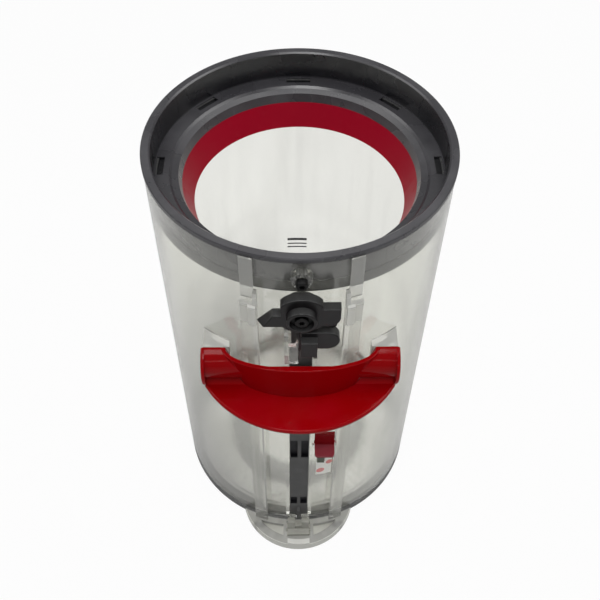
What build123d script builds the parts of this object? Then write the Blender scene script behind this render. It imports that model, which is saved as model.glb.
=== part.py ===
"""Cyclone dust bin: clear tube, grey top collar, red push handle, rocker-driven base lid.

Millimetres, +Z up. The origin is the centre of the base lid's underside and the
mechanism faces -Y. A runner's stop lifts the rocker's left arm, the right arm presses
the pull rod down, the rod frees the front catch and the lid swings on its back hinge.
"""
from build123d import *
import math
import os

# Clear tube
TUBE_R = 58.5            # outer radius
TUBE_WALL = 1.6
BIN_H = 204.0            # floor to the top of the collar lip

# Top collar, a socket for the cyclone
LIP_T = 2.0              # lip lying on the tube's edge
LIP_OVERHANG = 0.3       # lip past the tube's outer face
LIP_CHAMFER = 0.4
COLLAR_FIT = 0.2         # radial gap between skirt and tube
COLLAR_WALL = 1.4        # skirt wall beside the socket
COLLAR_H = 17.8          # lip top to skirt bottom
SOCKET_DEPTH = 12.1      # lip top to flange
SOCKET_CHAMFER = 0.6
FLANGE_W = 5.7           # flat ring that the cyclone's seal lands on
FLANGE_STEP = 0.8        # drop from the flange to the throat bevel
FLANGE_T = 2.4
STEP_W = 0.9
BEVEL_W = 2.5
BEVEL_DROP = 0.7
THROAT_H = 3.5
THROAT_TAPER = 1.1
THROAT_WALL = 3.9
BAND_DROP = 10.6         # lip top to the skirt's shallow lower band
BAND_STEP = 0.3
SLOT_COUNT = 8           # rectangular pockets round the flange
SLOT_L = 10.0
SLOT_W = 3.0
SLOT_D = 0.9
SLOT_EDGE = 0.6          # pocket to socket wall

# Collar seal, a rubber ring round the skirt
SEAL_H = 4.2
SEAL_FOOT = 1.0          # skirt lip under the seal
SEAL_T = 2.6
SEAL_GAP = 0.1

# Red wiper ring under the throat
WIPER_ROOT_H = 2.5
WIPER_T = 1.7
WIPER_DROP = 10.1        # root to lower lip
WIPER_CONE = 3.8         # radius lost down the cone

# Base lid
LID_RIM_H = 5.0
LID_FLOOR = 2.5
LID_GAP = 0.3            # lid rim to tube edge
SPIGOT_INSET = 3.4       # tube's inner face to spigot
SPIGOT_WALL = 2.0
SPIGOT_H = 4.0           # above the rim
LID_SEAL_H = 3.5
LID_SEAL_GAP = 0.5       # seal to tube
FLOOR_RING_R = 34.0      # shallow ring groove under the floor
FLOOR_RING_W = 3.0
FLOOR_RING_D = 0.8

# Tongue at the front of the lid
TONGUE_R = 28.3
TONGUE_REACH = 14.9      # past the tube
TONGUE_RIM = 4.2
TONGUE_FLOOR = 2.0
BAY_W = 12.0             # catch bay
BAY_BACK = 2.0           # tube face to bay
BAY_L = 7.8
BAY_FLOOR = 1.0
BAY_WALL = 1.6
TAB_W = 11.0             # raised thumb tab on the front rim
TAB_H = 1.6
TAB_T = 2.5

# Back hinge
HINGE_OUT = 5.5          # pivot behind the tube
HINGE_Z = 7.0
KNUCKLE_R = 3.2
KNUCKLE_W = 18.0
LUG_T = 5.7
SIDE_GAP = 0.3           # between knuckle and lug faces
PIN_R = 1.5
PIN_FIT = 0.08           # radial running clearance of pins and spigots

# Handle brackets and their pegs
BRACKET_X0 = 27.0
BRACKET_X1 = 37.0
HANDLE_CLEAR = 8.5       # pressed rod head to bracket top
BRACKET_H = 17.0
BRACKET_INSET = 3.6      # bracket face behind the tube's front
PEG_MARGIN = 3.6         # bracket edge to peg
PEG_L = 3.0
SNAP_FIT = 0.2           # peg to sleeve, bracket to barrel

# Red push handle
BARREL_R = 9.0
BARREL_X0 = 20.0         # runs in behind the wall
BARREL_X1 = 37.2
BARREL_INSET = 2.6       # barrel axis behind its flat back
BARREL_ROUND = 0.8
END_T = 1.4              # flange at the barrel's outer end
END_INSET = 1.4          # flange axis behind the flat back
WALL_HALF_TOP = 30.2     # oval wall, wider at its top
WALL_HALF_LOW = 23.6
WALL_T = 1.6
WALL_REACH = 7.9         # past the tube
OVAL_INSET = 3.4         # oval's centre behind the tube's front
PLATE_R = 43.3           # outer edge of the crescent plate
PLATE_REACH = 23.2       # past the tube
PLATE_T = 2.4
PLATE_DROP = 17.5        # wall top to plate top
PLATE_ROUND = 1.0
EDGE_ROUND = 0.4         # small moulded edges of handle, rocker, head and button
LENS_DEPTH = 0.9         # thumb pad behind the wall

# Runner rails
RAIL_X0 = 15.4
RAIL_X1 = 21.6
RELIEF_X = 19.8          # lips cut back beside the handle's barrels
RELIEF_GAP = 1.2
RAIL_STANDOFF = 4.1
RAIL_T = 1.6
RAIL_BOTTOM = 7.0
RAIL_DROP = 22.0         # lip top to rail top
RAIL_HOOK_H = 4.0
RAIL_HOOK_W = 1.5
RIB_X0 = 15.9            # short rib near the top
RIB_X1 = 18.7
RIB_L = 10.0
RIB_PROUD = 1.2
PAD_T = 1.1              # low pad from rail to tube top
PAD_X0 = 16.5
PAD_X1 = 21.2

# Rocker on its spigot
ROCKER_DROP = 22.0       # lip top to pivot
BOSS_R = 5.6
BOSS_OUT = 3.0
SPIGOT_R = 2.5
SPIGOT_L = 4.6
END_PLAY = 0.2
ROCKER_GAP = 0.3         # boss to rocker
ROCKER_T = 3.6
HUB_R = 5.3
HUB_OUT = 3.0
HUB_RECESS_R = 4.2
DISC_R = 8.9
DISC_W = 14.6            # disc cut straight at both sides
LEFT_SHOULDER = 10.0     # left arm, where its end starts to slope
LEFT_TIP = 15.6          # lower end at the back of the arm
LEFT_TIP_FRONT = 13.2    # and at its front
LEFT_TOP = 0.4           # above the pivot
LEFT_BOTTOM = 5.8        # below the pivot
RIGHT_TIP = 13.5         # square arm
RIGHT_TOP = 3.7
RIGHT_BOTTOM = 5.4
RIGHT_ROUND = 4.3
NOSE_X = 10.8
NOSE_R = 1.7
NOSE_T = 1.4             # nose only behind the arm
NOSE_GAP = 0.4           # nose to rod lug at rest
WASHER_R = 3.9
WASHER_T = 0.6

# Screws
SCREW_R = 1.1
SCREW_FIT = 0.05
ROCKER_HEAD_R = 2.4
ROCKER_HEAD_H = 1.5
ROCKER_SCREW_L = 6.0
COLLAR_HEAD_R = 2.1
COLLAR_HEAD_H = 2.5
DRIVE_CORE_R = 0.75      # six-lobed drive
LOBE_R = 0.3
LOBE_PITCH_R = 0.8
DRIVE_D = 1.0
COLLAR_SCREW_DROP = 8.0  # below the lip top
COLLAR_BOSS_R = 3.75
COLLAR_BOSS_OUT = 3.0
COLLAR_SCREW_STOP = 0.2  # screw end to socket face

# Pull rod
ROD_W = 8.6
ROD_T = 2.5
ROD_GAP = 0.4            # tube to rod
ROD_BOTTOM = 13.8
ROD_FOOT = 9.0           # lower end of the wedge rib
ROD_RIB_W = 1.6
ROD_TRAVEL = 3.6
POCKET_D = 1.5
POCKET_EDGE = 0.4
POCKET_SPANS = ((74.6, 89.7), (27.3, 34.8))
FOOT_STEP_TOP = 22.0     # recessed lower end
FOOT_STEP = 0.8
WEDGE_OUT = 1.6
WEDGE_H = 8.1
WINDOW_W = 5.4           # window that holds the return spring
WINDOW_H = 14.6
WINDOW_DROP = 13.5       # rod top to window

# Rod head
HEAD_X0 = -3.6
HEAD_H = 15.7
HEAD_PROUD = 0.2         # head in front of the rod
LUG_R = 4.7
LUG_X = 9.0
LUG_OUT = 6.9            # lug front past the tube
BLOCK_X0 = -0.2
BLOCK_X1 = 5.7
BLOCK_DROP = 2.2         # lug top to block top
BLOCK_H = 8.2
BLOCK_OUT = 10.0

# Rod guides on the tube
GUIDE_GAP = 0.3
GUIDE_T = 1.5
GUIDE_OUT = 3.8
GUIDE_BOTTOM = 17.0
TAB_LIP = 1.2            # retaining tab over the rod's edge
TAB_L = 4.0
TAB_DEPTH = 0.8
TAB_Z = (104.0, 118.0)
HOOK_X0 = -6.1
HOOK_X1 = -1.1
HOOK_DROP = 7.3          # lug top to hook shoulder
HOOK_H = 10.6
HOOK_RISE = 2.5
HOOK_T = 0.8
HOOK_STEM = 8.6          # upright beside the head
HOOK_DEPTH = 1.6
HOOK_OUT = 7.5

# Return spring in the rod's window
SPRING_R = 1.3
SPRING_WIRE = 0.4
SPRING_TURNS = 9
SEAT_H = 2.0
SEAT_GAP = 0.4

# Lid catch
CATCH_OUT = 6.0          # pivot past the tube
CATCH_Z = 3.2
CATCH_R = 1.5
CATCH_GAP = 0.4          # catch to bay walls
CATCH_PIN_R = 0.8
PRONG_X0 = 1.6
PRONG_X1 = 5.4
PRONG_TOP = 12.0
PRONG_T = 1.4
NOSE_H = 2.0
NOSE_LAND = 0.8          # upright front of the nose
NOSE_REACH = 1.9
BRIDGE_Z0 = 6.5
BRIDGE_Z1 = 8.5
BRIDGE_BACK = 1.4
THUMB_L = 3.1
THUMB_T = 1.4
KEEPER_OUT = 2.1
KEEPER_H = 1.8
KEEPER_LAND = 0.5        # upright front above the lead-in slope
KEEPER_GAP = 0.3

# Release button
BUTTON_X0 = 6.5
BUTTON_X1 = 15.1
BUTTON_Z = 87.2          # pivot height
BUTTON_OUT = 2.1         # pivot past the tube
BUTTON_TOP = 95.0
BUTTON_T = 1.6
LEDGE_REACH = 5.3
LEDGE_DROP = 1.6
LEDGE_T = 1.4
TRUNNION_R = 0.7
TRUNNION_L = 0.7
EAR_R = 1.9
EAR_GAP = 0.25
LEAF_X0 = 8.2
LEAF_X1 = 11.5
LEAF_T = 0.5
LEAF_BOTTOM = 64.0
LEAF_GAP = 0.35

# Plain label on the tube
LABEL_X0 = 7.8
LABEL_X1 = 15.0
LABEL_Z0 = 51.6
LABEL_Z1 = 69.5
LABEL_NOTCH = 0.4        # label to leaf spring
LABEL_T = 0.15

tube_in = TUBE_R - TUBE_WALL
tube_z0 = LID_RIM_H + LID_GAP
tube_z1 = BIN_H - LIP_T
front = -TUBE_R
rail_top = BIN_H - RAIL_DROP
rib_bottom = rail_top - RIB_L
rocker_z = BIN_H - ROCKER_DROP
lug_top = rocker_z - DISC_R - NOSE_GAP
lug_z = lug_top - LUG_R
rod_top = lug_top - HEAD_H
block_z1 = lug_top - BLOCK_DROP
block_z0 = block_z1 - BLOCK_H
hook_z1 = lug_top - HOOK_DROP
hook_z0 = hook_z1 - HOOK_H
window_z1 = rod_top - WINDOW_DROP
window_z0 = window_z1 - WINDOW_H
bracket_top = block_z0 - ROD_TRAVEL - HANDLE_CLEAR
skirt_r = tube_in - COLLAR_FIT
socket_r = skirt_r - COLLAR_WALL
flange_z = BIN_H - SOCKET_DEPTH
collar_z0 = BIN_H - COLLAR_H
step_r = socket_r - FLANGE_W
bevel_r0 = step_r - STEP_W
bevel_r1 = bevel_r0 - BEVEL_W
throat_r = bevel_r1 - THROAT_TAPER
bevel_z1 = flange_z - FLANGE_STEP - BEVEL_DROP
throat_z = bevel_z1 - THROAT_H
seal_z0 = collar_z0 + SEAL_FOOT
seal_r = skirt_r + SEAL_GAP - SEAL_T
spigot_r = tube_in - SPIGOT_INSET
pan_r = spigot_r - SPIGOT_WALL
tongue_y = front - TONGUE_REACH + TONGUE_R
hinge_y = TUBE_R + HINGE_OUT
bracket_y = front + BRACKET_INSET
barrel_y = bracket_y - SNAP_FIT
peg_x0 = BRACKET_X0 + PEG_MARGIN
peg_x1 = BRACKET_X1 - PEG_MARGIN
peg_z0 = bracket_top - BRACKET_H + PEG_MARGIN
peg_z1 = bracket_top - PEG_MARGIN
barrel_axis_y = barrel_y + BARREL_INSET
plate_z = bracket_top - PLATE_DROP
wall_low = plate_z - PLATE_T
barrel_z = bracket_top - math.sqrt(BARREL_R ** 2 - BARREL_INSET ** 2)
end_r = (bracket_top - wall_low) / 2
end_z = (bracket_top + wall_low) / 2
oval_y = front + OVAL_INSET
plate_y = front - PLATE_REACH + PLATE_R
rail_r = TUBE_R + RAIL_STANDOFF
boss_y = front - BOSS_OUT
rocker_y = boss_y - ROCKER_GAP
spigot_y = boss_y - SPIGOT_L
hub_y = rocker_y - ROCKER_T - HUB_OUT
rod_y0 = front - ROD_GAP
rod_y1 = rod_y0 - ROD_T
guide_x0 = ROD_W / 2 + GUIDE_GAP
guide_x1 = guide_x0 + GUIDE_T
guide_y = front - GUIDE_OUT
guide_top = rod_top - ROD_TRAVEL - GUIDE_GAP * 2
head_front = rod_y1 - HEAD_PROUD
lug_y = front - LUG_OUT
block_y = front - BLOCK_OUT
hook_y = front - HOOK_OUT
collar_screw_z = BIN_H - COLLAR_SCREW_DROP
collar_boss_y = front - COLLAR_BOSS_OUT
seat_z1 = window_z0 + SEAT_GAP + SEAT_H
spring_y = (rod_y0 + rod_y1) / 2
catch_y = front - CATCH_OUT
prong_y = catch_y + CATCH_R
button_y = front - BUTTON_OUT
plate_back = button_y + BUTTON_T / 2
plate_front = button_y - BUTTON_T / 2


def block(x0, x1, y0, y1, z0, z1):
    """Box between two opposite corners, in any order."""
    size = Box(abs(x1 - x0), abs(y1 - y0), abs(z1 - z0), align=(Align.MIN,) * 3)
    return Pos(min(x0, x1), min(y0, y1), min(z0, z1)) * size


def drum(radius, z0, z1, x=0.0, y=0.0):
    """Upright cylinder."""
    return Pos(x, y, z0) * Cylinder(radius, z1 - z0, align=(Align.CENTER, Align.CENTER, Align.MIN))


def ring(inner, outer, z0, z1):
    """Upright ring about the bin's axis."""
    return drum(outer, z0, z1) - drum(inner, z0, z1)


def bar_x(radius, x0, x1, y, z):
    """Cylinder along X."""
    shaft = Cylinder(radius, x1 - x0, align=(Align.CENTER, Align.CENTER, Align.MIN))
    return Pos(x0, y, z) * Rot(0, 90, 0) * shaft


def bar_y(radius, y0, y1, x, z):
    """Cylinder along Y."""
    shaft = Cylinder(radius, abs(y1 - y0), align=(Align.CENTER, Align.CENTER, Align.MIN))
    return Pos(x, min(y0, y1), z) * Rot(-90, 0, 0) * shaft


def turned(points):
    """Solid of revolution from (radius, height) corners."""
    return revolve(make_face(Plane.XZ * Polyline(*points, close=True)), Axis.Z)


def front_plane(y):
    """Upright plane whose sketches are in (x, z) and face the front."""
    return Plane((0, y, 0), x_dir=(1, 0, 0), z_dir=(0, -1, 0))


def front_slab(sketch, y_back, depth):
    """Sketch in (x, z) pulled towards the front from y_back."""
    return extrude(front_plane(y_back) * sketch, depth)


def side_slab(points, x0, x1):
    """Outline in (y, z) pulled along X."""
    plane = Plane((x0, 0, 0), x_dir=(0, 1, 0), z_dir=(1, 0, 0))
    return extrude(make_face(plane * Polyline(*points, close=True)), x1 - x0, dir=(1, 0, 0))


def plan_slab(sketch, z0, z1):
    """Sketch in (x, y) pulled upwards."""
    return extrude(Pos(0, 0, z0) * sketch, z1 - z0)


def both_sides(solid):
    """The solid and its mirror image in the YZ plane."""
    return solid + mirror(solid, Plane.YZ)


def six_lobe(y_face, x, z):
    """Six-lobed drive recess cut inwards from a screw head's face."""
    lobes = Circle(DRIVE_CORE_R)
    for index in range(6):
        turn = math.radians(60 * index)
        lobes += Pos(LOBE_PITCH_R * math.cos(turn), LOBE_PITCH_R * math.sin(turn)) * Circle(LOBE_R)
    return Pos(x, 0, z) * front_slab(lobes, y_face + DRIVE_D, DRIVE_D)


def rails():
    """L-shaped runner rails with a hook block, a short rib and a low pad above."""
    reach = TUBE_R - TUBE_WALL / 2
    web = block(RAIL_X0, RAIL_X0 + RAIL_T, -rail_r, 0, RAIL_BOTTOM, rail_top)
    lip = block(RAIL_X0, RAIL_X1, -rail_r, 0, RAIL_BOTTOM, rail_top)
    lip -= block(RELIEF_X, RAIL_X1, -rail_r, 0, wall_low - RELIEF_GAP, bracket_top + RELIEF_GAP)
    lip &= ring(rail_r - RAIL_T, rail_r, RAIL_BOTTOM, rail_top)
    rib = block(RIB_X0, RIB_X1, -rail_r - RIB_PROUD, 0, rib_bottom, rail_top)
    rib &= ring(rail_r - RAIL_T, rail_r + RIB_PROUD, rib_bottom, rail_top)
    hook = block(RAIL_X0, RAIL_X0 + RAIL_HOOK_W, -rail_r, 0, rail_top, rail_top + RAIL_HOOK_H)
    pad = block(PAD_X0, PAD_X1, -rail_r, 0, rail_top, tube_z1)
    pad &= ring(reach, TUBE_R + PAD_T, rail_top, tube_z1)
    web &= drum(rail_r, RAIL_BOTTOM, rail_top)
    hook &= drum(rail_r, rail_top, rail_top + RAIL_HOOK_H)
    return both_sides(web + lip + rib + hook + pad)


def brackets():
    """Wedges beside the rails, each with a peg that the handle snaps over."""
    wedge = block(BRACKET_X0, BRACKET_X1, bracket_y, 0, bracket_top - BRACKET_H, bracket_top)
    peg = block(peg_x0, peg_x1, bracket_y - PEG_L, bracket_y + PEG_L, peg_z0, peg_z1)
    return both_sides(wedge + peg)


def rod_guides():
    """Ribs each side of the rod, their retaining tabs, the spring seat and the head's hook."""
    rib = block(guide_x0, guide_x1, guide_y, 0, GUIDE_BOTTOM, guide_top)
    for z in TAB_Z:
        tab_y = rod_y1 - GUIDE_GAP
        rib += block(guide_x0 - TAB_LIP, guide_x1, tab_y, tab_y - TAB_DEPTH, z, z + TAB_L)
    seat = block(-SPRING_R, SPRING_R, rod_y1, 0, window_z0 + SEAT_GAP, seat_z1)
    hook_back = hook_y + HOOK_DEPTH
    hook = block(HOOK_X0, HOOK_X1, hook_y, hook_back, hook_z0, hook_z1)
    hook += block(HOOK_X0, -guide_x0, hook_y, 0, hook_z0, hook_z1)
    hook += block(HOOK_X0, -guide_x0, hook_y, hook_back, hook_z1, hook_z1 + HOOK_STEM)
    hook += block(HOOK_X1 - HOOK_T, HOOK_X1, hook_y, hook_back, hook_z1, hook_z1 + HOOK_RISE)
    return both_sides(rib) + seat + hook


def button_ears():
    """Two ears that carry the release button's trunnions."""
    left = BUTTON_X0 - EAR_GAP - TRUNNION_L
    right = BUTTON_X1 + EAR_GAP
    ears = Part()
    for x in (left, right):
        ears += bar_x(EAR_R, x, x + TRUNNION_L, button_y, BUTTON_Z)
        ears += block(x, x + TRUNNION_L, button_y, 0, BUTTON_Z - EAR_R, BUTTON_Z + EAR_R)
    return ears


def hinge_lugs():
    """Two lugs low on the back of the tube."""
    x0 = KNUCKLE_W / 2 + SIDE_GAP
    lug = bar_x(KNUCKLE_R, x0, x0 + LUG_T, hinge_y, HINGE_Z)
    lug += block(x0, x0 + LUG_T, 0, hinge_y, tube_z0, HINGE_Z + KNUCKLE_R)
    return both_sides(lug - bar_x(PIN_R + SCREW_FIT, x0, x0 + LUG_T, hinge_y, HINGE_Z))


def bin_body():
    """Clear tube with everything that is moulded on it."""
    keeper_z = PRONG_TOP - NOSE_H - KEEPER_GAP
    outside = rails() + brackets() + rod_guides() + button_ears() + hinge_lugs()
    outside += bar_y(BOSS_R, boss_y, 0, 0, rocker_z)
    outside += bar_y(SPIGOT_R, spigot_y, 0, 0, rocker_z)
    outside += bar_y(COLLAR_BOSS_R, collar_boss_y, 0, 0, collar_screw_z)
    keeper_back = front + TUBE_WALL / 2
    outside += both_sides(side_slab((
        (keeper_back, keeper_z - KEEPER_H), (front - KEEPER_OUT, keeper_z - KEEPER_LAND),
        (front - KEEPER_OUT, keeper_z), (keeper_back, keeper_z)), PRONG_X0, PRONG_X1))
    solid = drum(TUBE_R, tube_z0, tube_z1) + outside
    solid -= drum(tube_in, 0, BIN_H)
    solid -= bar_y(SCREW_R + SCREW_FIT, spigot_y, spigot_y + ROCKER_SCREW_L, 0, rocker_z)
    solid -= bar_y(SCREW_R + SCREW_FIT, collar_boss_y, 0, 0, collar_screw_z)
    end = EAR_GAP + TRUNNION_L
    return solid - bar_x(TRUNNION_R + PIN_FIT, BUTTON_X0 - end, BUTTON_X1 + end, button_y, BUTTON_Z)


def top_collar():
    """Grey collar: lip, socket wall, flange with pockets, tapered throat and skirt."""
    lip_r = TUBE_R + LIP_OVERHANG
    web_z = flange_z - FLANGE_T
    body = turned((
        (lip_r - LIP_CHAMFER, BIN_H), (lip_r, BIN_H - LIP_CHAMFER), (lip_r, tube_z1),
        (skirt_r, tube_z1), (skirt_r, BIN_H - BAND_DROP),
        (skirt_r - BAND_STEP, BIN_H - BAND_DROP), (skirt_r - BAND_STEP, seal_z0 + SEAL_H),
        (seal_r, seal_z0 + SEAL_H), (seal_r, seal_z0), (skirt_r, seal_z0), (skirt_r, collar_z0),
        (seal_r - COLLAR_WALL, collar_z0), (seal_r - COLLAR_WALL, web_z), (throat_r + THROAT_WALL, web_z),
        (throat_r + THROAT_WALL, throat_z), (throat_r, throat_z), (bevel_r1, bevel_z1),
        (bevel_r0, flange_z - FLANGE_STEP), (step_r, flange_z), (socket_r, flange_z),
        (socket_r, BIN_H - SOCKET_CHAMFER), (socket_r + SOCKET_CHAMFER, BIN_H)))
    slot_y = socket_r - SLOT_EDGE - SLOT_W / 2
    for index in range(SLOT_COUNT):
        slot = Pos(0, slot_y, flange_z) * Box(SLOT_L, SLOT_W, SLOT_D * 2)
        body -= Rot(0, 0, 360 / SLOT_COUNT * index) * slot
    return body - bar_y(SCREW_R + SCREW_FIT, front, -socket_r - COLLAR_SCREW_STOP / 2, 0, collar_screw_z)


def collar_seal():
    """Dark rubber ring in the skirt's groove."""
    return ring(seal_r, seal_r + SEAL_T, seal_z0, seal_z0 + SEAL_H)


def wiper_ring():
    """Red rubber wiper: a root ring under the throat and a cone that narrows downwards."""
    root_z = throat_z - WIPER_ROOT_H
    tip_r = throat_r - WIPER_CONE
    tip_z = throat_z - WIPER_DROP
    return turned((
        (throat_r, throat_z), (throat_r + THROAT_WALL, throat_z), (throat_r + THROAT_WALL, root_z),
        (throat_r + WIPER_T, root_z), (tip_r + WIPER_T, tip_z + WIPER_T / 2),
        (tip_r + WIPER_T / 2, tip_z), (tip_r, tip_z)))


def screw(head_r, head_h, y_seat, y_end, z):
    """Round-head screw along Y with its head in front of the seat."""
    head = bar_y(head_r, y_seat - head_h, y_seat, 0, z)
    head = fillet(head.edges().group_by(Axis.Y)[0], head_h / 4)
    return head + bar_y(SCREW_R, y_seat, y_end, 0, z) - six_lobe(y_seat - head_h, 0, z)


def oval_cone(inset):
    """Upright oval cone inside the handle wall's front face, wider at the top."""
    reach = WALL_REACH + OVAL_INSET - inset
    low = Pos(0, oval_y, wall_low) * Ellipse(WALL_HALF_LOW - inset, reach)
    high = Pos(0, oval_y, bracket_top) * Ellipse(WALL_HALF_TOP - inset, reach)
    return loft([low, high], ruled=True)


def push_handle():
    """Red handle: two round barrels, a flared arched wall with a thumb pad and a crescent plate."""
    ahead = block(-TUBE_R, TUBE_R, barrel_y, front * 2, 0, BIN_H)
    hollow = oval_cone(WALL_T)
    barrel = bar_x(BARREL_R, BARREL_X0, BARREL_X1, barrel_axis_y, barrel_z)
    flange = bar_x(end_r, BARREL_X1 - END_T / 2, BARREL_X1 + END_T / 2, barrel_y + END_INSET, end_z)
    barrel += fillet(flange.edges().sort_by(Axis.X)[-1], BARREL_ROUND)
    barrel &= ahead
    barrel -= block(peg_x0 - SNAP_FIT, peg_x1 + SNAP_FIT, bracket_y, bracket_y - PEG_L - SNAP_FIT,
                    peg_z0 - SNAP_FIT, peg_z1 + SNAP_FIT)
    crescent = Pos(0, plate_y) * Circle(PLATE_R)
    crescent &= Pos(0, barrel_y - TUBE_R) * Rectangle(BARREL_X1 * 2, TUBE_R * 2)
    plate = plan_slab(crescent, wall_low, plate_z)
    lip = [edge for edge in plate.edges() if edge.bounding_box().min.Y < front - WALL_REACH * 2]
    plate = fillet(lip, PLATE_ROUND)
    face = oval_cone(0)
    wall = fillet(face.edges().sort_by(Axis.Z)[-1], EDGE_ROUND) & ahead
    chord = oval_y - WALL_REACH - OVAL_INSET + WALL_T + LENS_DEPTH
    hollow &= block(-TUBE_R, TUBE_R, chord, 0, 0, BIN_H)
    return plate + wall + both_sides(barrel) - hollow


def rocker_arm():
    """Left arm of the rocker, its sloping end longer at the back than at the front."""
    ends = []
    for y, tip in ((rocker_y, LEFT_TIP), (rocker_y - ROCKER_T, LEFT_TIP_FRONT)):
        outline = Polygon((0, LEFT_TOP), (-LEFT_SHOULDER, LEFT_TOP), (-tip, -LEFT_BOTTOM),
                          (0, -LEFT_BOTTOM), align=None)
        ends.append(front_plane(y) * outline)
    arm = loft(ends, ruled=True)
    return fillet(arm.faces().sort_by(Axis.Y)[0].edges(), EDGE_ROUND)


def rocker():
    """Black rocker: hub, disc, sloping left arm, square right arm and a nose behind it."""
    disc = Circle(DISC_R) & Rectangle(DISC_W, DISC_R * 2)
    right = Pos(RIGHT_TIP / 2, (RIGHT_TOP - RIGHT_BOTTOM) / 2) * Rectangle(RIGHT_TIP, RIGHT_TOP + RIGHT_BOTTOM)
    corner = right.vertices().group_by(Axis.X)[-1].sort_by(Axis.Y)[0]
    right = fillet(corner, RIGHT_ROUND)
    nose_drop = DISC_R - NOSE_R
    nose = Pos(NOSE_X, -nose_drop) * Circle(NOSE_R)
    nose += Pos(NOSE_X, -nose_drop / 2) * Rectangle(NOSE_R * 2, nose_drop)
    body = front_slab(disc + right, rocker_y, ROCKER_T)
    body = fillet(body.faces().sort_by(Axis.Y)[0].edges(), EDGE_ROUND)
    body += rocker_arm() + front_slab(nose, rocker_y, NOSE_T)
    hub = bar_y(HUB_R, hub_y, rocker_y, 0, 0)
    body += fillet(hub.edges().group_by(Axis.Y)[0], EDGE_ROUND)
    recess = spigot_y + END_PLAY
    body -= bar_y(HUB_RECESS_R, hub_y, recess, 0, 0)
    return Pos(0, 0, rocker_z) * (body - bar_y(SPIGOT_R + PIN_FIT, hub_y, rocker_y, 0, 0))


def rocker_washer():
    """Washer on the spigot's end that keeps the rocker on."""
    disc = bar_y(WASHER_R, spigot_y - WASHER_T, spigot_y, 0, rocker_z)
    return disc - bar_y(SCREW_R + SCREW_FIT, spigot_y - WASHER_T, spigot_y, 0, rocker_z)


def pull_rod():
    """Grey flat rod: pockets beside a middle rib, a spring window and a wedge foot."""
    half = ROD_W / 2
    rib = ROD_RIB_W / 2
    strip = block(-half, half, rod_y0, rod_y1, ROD_BOTTOM, rod_top)
    for z0, z1 in POCKET_SPANS:
        strip -= both_sides(block(rib, half - POCKET_EDGE, rod_y1, rod_y1 + POCKET_D, z0, z1))
    strip -= both_sides(block(rib, half, rod_y1, rod_y1 + FOOT_STEP, ROD_BOTTOM, FOOT_STEP_TOP))
    strip -= block(-WINDOW_W / 2, WINDOW_W / 2, rod_y0, rod_y1, window_z0, window_z1)
    foot = side_slab((
        (rod_y0, ROD_FOOT), (rod_y1, ROD_FOOT), (rod_y1 - WEDGE_OUT, ROD_FOOT + WEDGE_H),
        (rod_y1 - WEDGE_OUT, FOOT_STEP_TOP), (rod_y1, FOOT_STEP_TOP + WEDGE_OUT),
        (rod_y0, FOOT_STEP_TOP + WEDGE_OUT)), -rib, rib)
    return strip + foot


def rod_head():
    """Black head on the rod: back plate, round-ended lug and the runner block."""
    plate = block(HEAD_X0, BLOCK_X1, rod_y0, head_front, rod_top, lug_top)
    stem = block(HEAD_X0, LUG_X, head_front, rod_y0, lug_z - LUG_R, lug_top)
    lug = bar_y(LUG_R, lug_y, head_front, LUG_X, lug_z)
    lug += block(BLOCK_X0, LUG_X, lug_y, head_front, lug_z - LUG_R, lug_top)
    lug = fillet(lug.faces().sort_by(Axis.Y)[0].edges(), EDGE_ROUND)
    stop = block(BLOCK_X0, BLOCK_X1, block_y, head_front, block_z0, block_z1)
    stop = fillet(stop.faces().sort_by(Axis.Y)[0].edges(), EDGE_ROUND)
    return plate + stem + lug + stop


def rod_spring():
    """Return spring between the tube's seat and the top of the rod's window."""
    z0 = seat_z1 + SPRING_WIRE / 2
    height = window_z1 - seat_z1 - SPRING_WIRE
    mean_r = SPRING_R - SPRING_WIRE / 2
    helix = Pos(0, spring_y, z0) * Helix(height / SPRING_TURNS, height, mean_r)
    section = Plane(origin=helix @ 0, z_dir=helix % 0) * Circle(SPRING_WIRE / 2)
    return sweep(section, path=helix)


def base_lid():
    """Clear lid: floor, rim, spigot, front tongue with pockets and bay, back knuckle."""
    lid = drum(TUBE_R, 0, LID_RIM_H) + drum(TONGUE_R, 0, LID_RIM_H, 0, tongue_y)
    lid += drum(spigot_r, LID_RIM_H, LID_RIM_H + SPIGOT_H)
    lid -= drum(pan_r, LID_FLOOR, LID_RIM_H + SPIGOT_H)
    lid -= ring(FLOOR_RING_R, FLOOR_RING_R + FLOOR_RING_W, 0, FLOOR_RING_D)
    bay_half = BAY_W / 2
    pocket = drum(TONGUE_R - TONGUE_RIM, TONGUE_FLOOR, LID_RIM_H, 0, tongue_y)
    pocket -= drum(TUBE_R + TONGUE_RIM, 0, LID_RIM_H)
    pocket -= block(-bay_half - BAY_WALL, bay_half + BAY_WALL, 0, front * 2, 0, LID_RIM_H)
    pocket -= block(-TUBE_R, TUBE_R, 0, front, 0, LID_RIM_H)
    lid -= pocket
    bay_y = front - BAY_BACK
    lid -= block(-bay_half, bay_half, bay_y, bay_y - BAY_L, BAY_FLOOR, LID_RIM_H)
    tab = block(-TAB_W / 2, TAB_W / 2, front, front * 2, LID_RIM_H, LID_RIM_H + TAB_H)
    tab &= drum(TONGUE_R, 0, BIN_H, 0, tongue_y) - drum(TONGUE_R - TAB_T, 0, BIN_H, 0, tongue_y)
    lid += tab
    knuckle_half = KNUCKLE_W / 2
    lid += bar_x(KNUCKLE_R, -knuckle_half, knuckle_half, hinge_y, HINGE_Z)
    lid += block(-knuckle_half, knuckle_half, tube_in, hinge_y, LID_FLOOR, LID_RIM_H)
    lid -= bar_x(PIN_R + PIN_FIT, -knuckle_half, knuckle_half, hinge_y, HINGE_Z)
    pin_half = bay_half + BAY_WALL / 2
    return lid - bar_x(CATCH_PIN_R + SCREW_FIT, -pin_half, pin_half, catch_y, CATCH_Z)


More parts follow.
